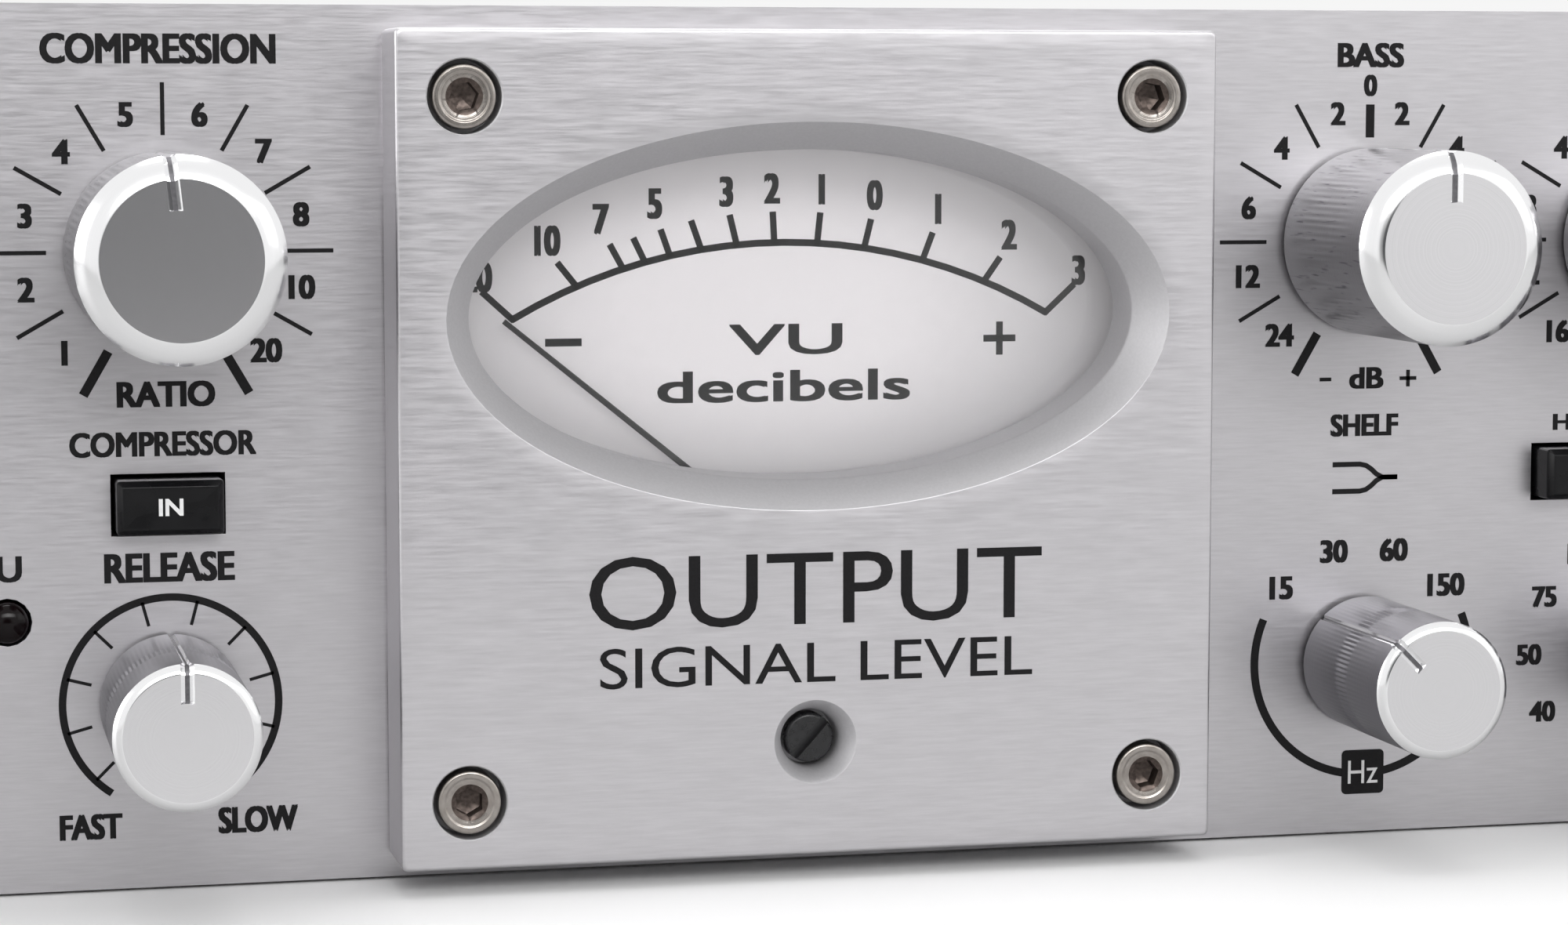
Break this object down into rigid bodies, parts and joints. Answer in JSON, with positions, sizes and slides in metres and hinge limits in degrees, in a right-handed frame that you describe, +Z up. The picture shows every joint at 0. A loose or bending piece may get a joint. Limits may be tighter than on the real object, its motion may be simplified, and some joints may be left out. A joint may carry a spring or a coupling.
{
  "type": "rack compressor",
  "caption": "Two-unit 19-inch rack studio channel: brushed aluminium panel, raised square meter plate with oval window, turned knobs, push buttons and rear connectors.",
  "frame": {"origin": "centre of the underside of the whole object's bounding box, on the surface the unit stands on", "axes": "+X to the right as seen from the front, along the panel; the panel faces -Y; +Z up"},
  "size_m": [0.4826, 0.336, 0.0881],
  "materials": {
    "brushed_panel_aluminium": "horizontally brushed, clear anodised",
    "brushed_plate_aluminium": "horizontally brushed, clear anodised, a little brighter",
    "turned_aluminium": "turned: satin face, polished rim, finely knurled side",
    "screw_steel": "plain steel",
    "black_button_plastic": "moulded, glossy",
    "black_case_plastic": "moulded, matt",
    "clear_lens": "clear, polished",
    "dial_card": "warm white printed card, back-lit",
    "black_needle": "black paint on thin aluminium",
    "dark_lamp_lens": "dark tinted, unlit",
    "grey_sheet_steel": "fine-textured dark grey powder coat",
    "green_board": "solder-resist green laminate",
    "tube_glass": "clear blown glass",
    "transformer_tape": "amber polyester tape over the winding",
    "black_connector": "black moulded housing",
    "nickel": "nickel plated"
  },
  "bodies": {
    "chassis": {"front_panel": "brushed_panel_aluminium", "meter_plate": "brushed_plate_aluminium", "plate_screw_1": "screw_steel", "plate_screw_2": "screw_steel", "plate_screw_3": "screw_steel", "plate_screw_4": "screw_steel", "meter_case": "black_case_plastic", "meter_lens": "clear_lens", "meter_dial": "dial_card", "left_control_board": "green_board", "right_control_board": "green_board", "meter_mode_lamp": "dark_lamp_lens", "instrument_jack": "nickel", "chassis_tray": "grey_sheet_steel", "top_cover": "grey_sheet_steel", "cover_screw_1": "screw_steel", "cover_screw_2": "screw_steel", "cover_screw_3": "screw_steel", "cover_screw_4": "screw_steel", "rear_panel": "grey_sheet_steel", "microphone_input": "black_connector", "line_input": "black_connector", "balanced_output": "black_connector", "mains_inlet": "black_connector", "fuse_holder": "black_connector", "main_board": "green_board", "vacuum_tube_1": "tube_glass", "vacuum_tube_2": "tube_glass", "vacuum_tube_3": "tube_glass", "vacuum_tube_4": "tube_glass", "toroidal_transformer": "transformer_tape", "transformer_clamp": "screw_steel"},
    "input_select_knob": {"input_select_knob": "turned_aluminium"},
    "preamp_gain_knob": {"preamp_gain_knob": "turned_aluminium"},
    "threshold_knob": {"threshold_knob": "turned_aluminium"},
    "ratio_knob": {"ratio_knob": "turned_aluminium"},
    "bass_knob": {"bass_knob": "turned_aluminium"},
    "low_mid_knob": {"low_mid_knob": "turned_aluminium"},
    "high_mid_knob": {"high_mid_knob": "turned_aluminium"},
    "treble_knob": {"treble_knob": "turned_aluminium"},
    "output_level_knob": {"output_level_knob": "turned_aluminium"},
    "low_cut_knob": {"low_cut_knob": "turned_aluminium"},
    "attack_knob": {"attack_knob": "turned_aluminium"},
    "release_knob": {"release_knob": "turned_aluminium"},
    "bass_frequency_knob": {"bass_frequency_knob": "turned_aluminium"},
    "low_mid_frequency_knob": {"low_mid_frequency_knob": "turned_aluminium"},
    "high_mid_frequency_knob": {"high_mid_frequency_knob": "turned_aluminium"},
    "treble_frequency_knob": {"treble_frequency_knob": "turned_aluminium"},
    "phantom_power_button": {"phantom_power_button": "black_button_plastic"},
    "phase_button": {"phase_button": "black_button_plastic"},
    "low_cut_button": {"low_cut_button": "black_button_plastic"},
    "compressor_in_button": {"compressor_in_button": "black_button_plastic"},
    "low_mid_narrow_button": {"low_mid_narrow_button": "black_button_plastic"},
    "low_mid_times_ten_button": {"low_mid_times_ten_button": "black_button_plastic"},
    "high_mid_narrow_button": {"high_mid_narrow_button": "black_button_plastic"},
    "high_mid_times_ten_button": {"high_mid_times_ten_button": "black_button_plastic"},
    "equaliser_in_button": {"equaliser_in_button": "black_button_plastic"},
    "meter_needle": {"meter_needle": "black_needle"},
    "zero_adjust_screw": {"zero_adjust_screw": "black_case_plastic"},
    "power_rocker": {"power_rocker": "black_button_plastic"}
  },
  "joints": [
    {"name": "input_select_turn", "type": "hinge", "parent": "chassis", "child": "input_select_knob", "pos_m": [-0.202, -0.1446, 0.0637], "axis": [0, 1, 0], "range_deg": [0, 120]},
    {"name": "preamp_gain_turn", "type": "hinge", "parent": "chassis", "child": "preamp_gain_knob", "pos_m": [-0.17, -0.1446, 0.0637], "axis": [0, 1, 0], "range_deg": [-120, 180]},
    {"name": "threshold_turn", "type": "hinge", "parent": "chassis", "child": "threshold_knob", "pos_m": [-0.0996, -0.1446, 0.0637], "axis": [0, 1, 0], "range_deg": [-150, 150]},
    {"name": "ratio_turn", "type": "hinge", "parent": "chassis", "child": "ratio_knob", "pos_m": [-0.0638, -0.1446, 0.0637], "axis": [0, 1, 0], "range_deg": [-150, 150]},
    {"name": "bass_turn", "type": "hinge", "parent": "chassis", "child": "bass_knob", "pos_m": [0.0631, -0.1446, 0.0637], "axis": [0, 1, 0], "range_deg": [-150, 150]},
    {"name": "low_mid_turn", "type": "hinge", "parent": "chassis", "child": "low_mid_knob", "pos_m": [0.095, -0.1446, 0.0637], "axis": [0, 1, 0], "range_deg": [-150, 150]},
    {"name": "high_mid_turn", "type": "hinge", "parent": "chassis", "child": "high_mid_knob", "pos_m": [0.1269, -0.1446, 0.0637], "axis": [0, 1, 0], "range_deg": [-150, 150]},
    {"name": "treble_turn", "type": "hinge", "parent": "chassis", "child": "treble_knob", "pos_m": [0.1588, -0.1446, 0.0637], "axis": [0, 1, 0], "range_deg": [-150, 150]},
    {"name": "output_level_turn", "type": "hinge", "parent": "chassis", "child": "output_level_knob", "pos_m": [0.199, -0.1446, 0.056], "axis": [0, 1, 0], "range_deg": [-150, 150]},
    {"name": "low_cut_turn", "type": "hinge", "parent": "chassis", "child": "low_cut_knob", "pos_m": [-0.17, -0.1446, 0.0186], "axis": [0, 1, 0], "range_deg": [-60, 240]},
    {"name": "attack_turn", "type": "hinge", "parent": "chassis", "child": "attack_knob", "pos_m": [-0.0996, -0.1446, 0.0186], "axis": [0, 1, 0], "range_deg": [-150, 150]},
    {"name": "release_turn", "type": "hinge", "parent": "chassis", "child": "release_knob", "pos_m": [-0.0638, -0.1446, 0.0186], "axis": [0, 1, 0], "range_deg": [-150, 150]},
    {"name": "bass_frequency_turn", "type": "hinge", "parent": "chassis", "child": "bass_frequency_knob", "pos_m": [0.0631, -0.1446, 0.0186], "axis": [0, 1, 0], "range_deg": [0, 90]},
    {"name": "low_mid_frequency_turn", "type": "hinge", "parent": "chassis", "child": "low_mid_frequency_knob", "pos_m": [0.095, -0.1446, 0.0186], "axis": [0, 1, 0], "range_deg": [-150, 150]},
    {"name": "high_mid_frequency_turn", "type": "hinge", "parent": "chassis", "child": "high_mid_frequency_knob", "pos_m": [0.1269, -0.1446, 0.0186], "axis": [0, 1, 0], "range_deg": [-150, 150]},
    {"name": "treble_frequency_turn", "type": "hinge", "parent": "chassis", "child": "treble_frequency_knob", "pos_m": [0.1588, -0.1446, 0.0186], "axis": [0, 1, 0], "range_deg": [0, 90]},
    {"name": "phantom_power_press", "type": "slide", "parent": "chassis", "child": "phantom_power_button", "axis": [0, 1, 0], "range_m": [0, 0.0025], "stiffness_N_per_m": 250, "springref_m": -0.002},
    {"name": "phase_press", "type": "slide", "parent": "chassis", "child": "phase_button", "axis": [0, 1, 0], "range_m": [0, 0.0025], "stiffness_N_per_m": 250, "springref_m": -0.002},
    {"name": "low_cut_press", "type": "slide", "parent": "chassis", "child": "low_cut_button", "axis": [0, 1, 0], "range_m": [0, 0.0025], "stiffness_N_per_m": 250, "springref_m": -0.002},
    {"name": "compressor_in_press", "type": "slide", "parent": "chassis", "child": "compressor_in_button", "axis": [0, 1, 0], "range_m": [0, 0.0025], "stiffness_N_per_m": 250, "springref_m": -0.002},
    {"name": "low_mid_narrow_press", "type": "slide", "parent": "chassis", "child": "low_mid_narrow_button", "axis": [0, 1, 0], "range_m": [0, 0.0025], "stiffness_N_per_m": 250, "springref_m": -0.002},
    {"name": "low_mid_times_ten_press", "type": "slide", "parent": "chassis", "child": "low_mid_times_ten_button", "axis": [0, 1, 0], "range_m": [0, 0.0025], "stiffness_N_per_m": 250, "springref_m": -0.002},
    {"name": "high_mid_narrow_press", "type": "slide", "parent": "chassis", "child": "high_mid_narrow_button", "axis": [0, 1, 0], "range_m": [0, 0.0025], "stiffness_N_per_m": 250, "springref_m": -0.002},
    {"name": "high_mid_times_ten_press", "type": "slide", "parent": "chassis", "child": "high_mid_times_ten_button", "axis": [0, 1, 0], "range_m": [0, 0.0025], "stiffness_N_per_m": 250, "springref_m": -0.002},
    {"name": "equaliser_in_press", "type": "slide", "parent": "chassis", "child": "equaliser_in_button", "axis": [0, 1, 0], "range_m": [0, 0.0025], "stiffness_N_per_m": 250, "springref_m": -0.002},
    {"name": "needle_swing", "type": "hinge", "parent": "chassis", "child": "meter_needle", "pos_m": [0, -0.1417, 0.0323], "axis": [0, 1, 0], "range_deg": [0, 102], "stiffness_Nm_per_rad": 0.0002, "springref_deg": -34.38},
    {"name": "zero_adjust_turn", "type": "hinge", "parent": "chassis", "child": "zero_adjust_screw", "pos_m": [0, -0.1549, 0.0139], "axis": [0, 1, 0], "range_deg": [-90, 90]},
    {"name": "power_rocker_tilt", "type": "hinge", "parent": "chassis", "child": "power_rocker", "pos_m": [0.1505, 0.164, 0.044], "axis": [1, 0, 0], "range_deg": [0, 16]}
  ]
}
